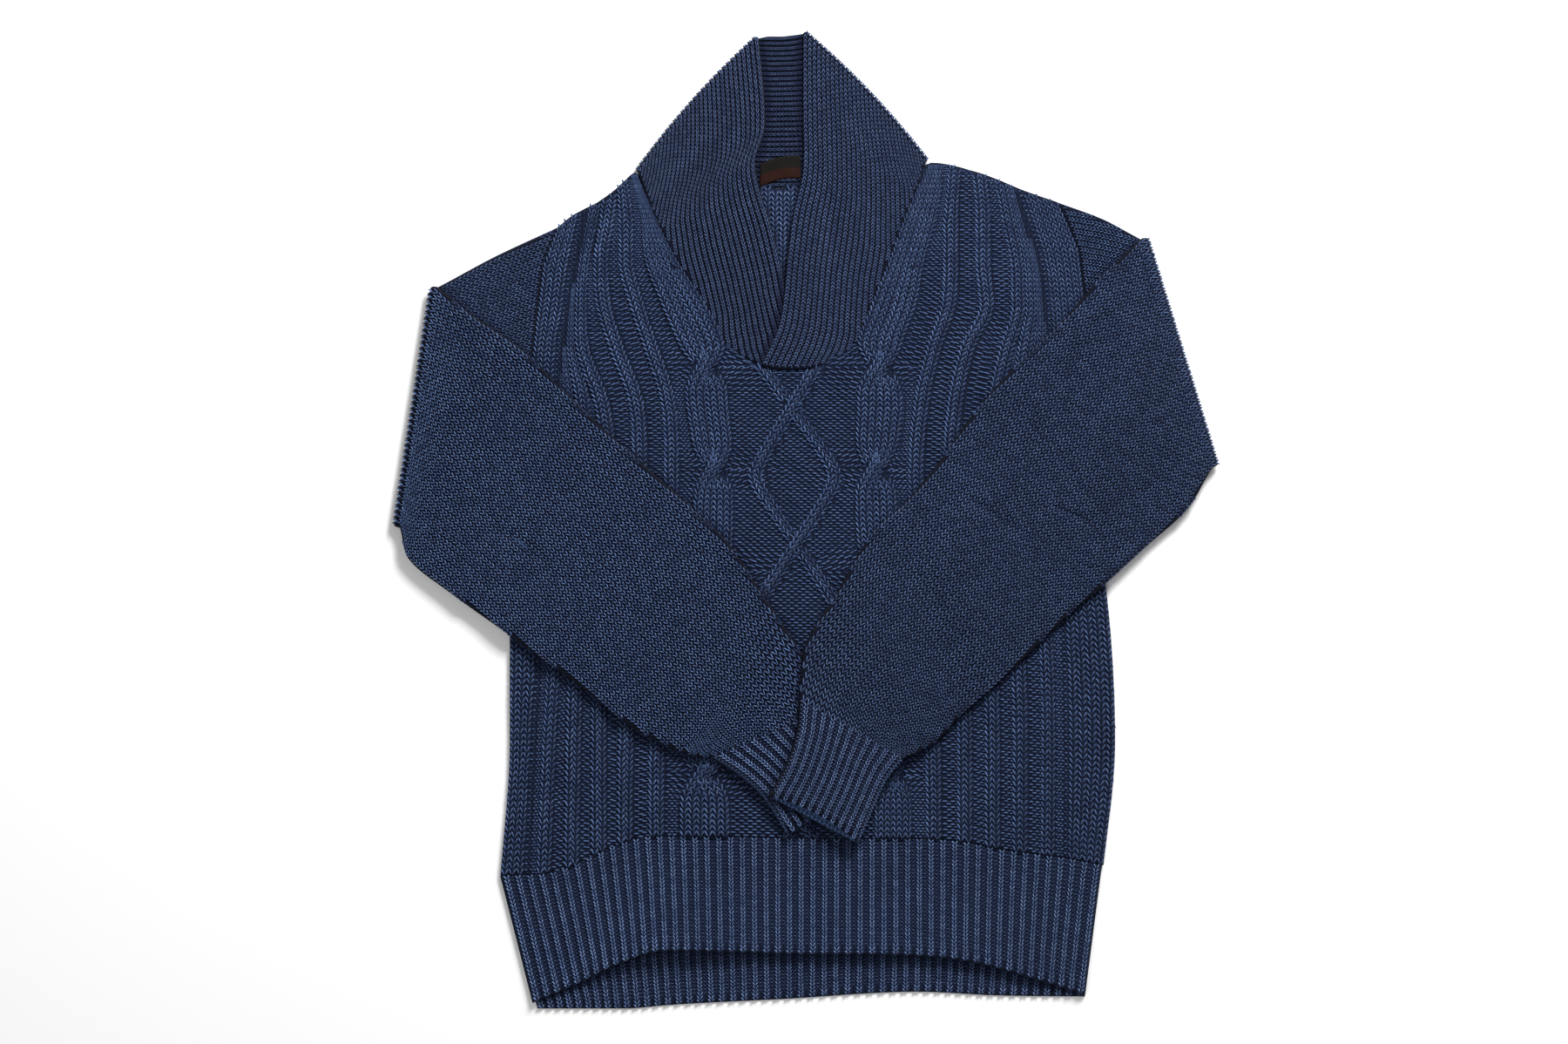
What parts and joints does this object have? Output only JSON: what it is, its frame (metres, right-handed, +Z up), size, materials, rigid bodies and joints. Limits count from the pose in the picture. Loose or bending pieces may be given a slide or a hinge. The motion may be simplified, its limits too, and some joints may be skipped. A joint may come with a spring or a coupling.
{
  "type": "v-neck sweater with shawl collar",
  "caption": "Chunky cable-knit V-neck pullover with a ribbed shawl collar, laid flat with both sleeves folded over its front.",
  "frame": {"origin": "on the surface it lies on, under the middle of its outline", "axes": "+X to the right as seen from above, +Y from the hem to the collar, +Z up, away from the surface"},
  "size_m": [0.687, 0.817, 0.0212],
  "materials": {
    "indigo_knit": "matt marled yarn",
    "indigo_rib": "matt marled yarn",
    "label_weave": "woven tape"
  },
  "bodies": {
    "root": {"back_panel": "indigo_knit", "front_panel": "indigo_knit", "back_hem_rib": "indigo_rib", "front_hem_rib": "indigo_rib", "sleeve_left": "indigo_knit", "sleeve_right": "indigo_knit", "cuff_left": "indigo_rib", "cuff_right": "indigo_rib", "collar": "indigo_rib", "neck_label": "label_weave"}
  },
  "joints": []
}
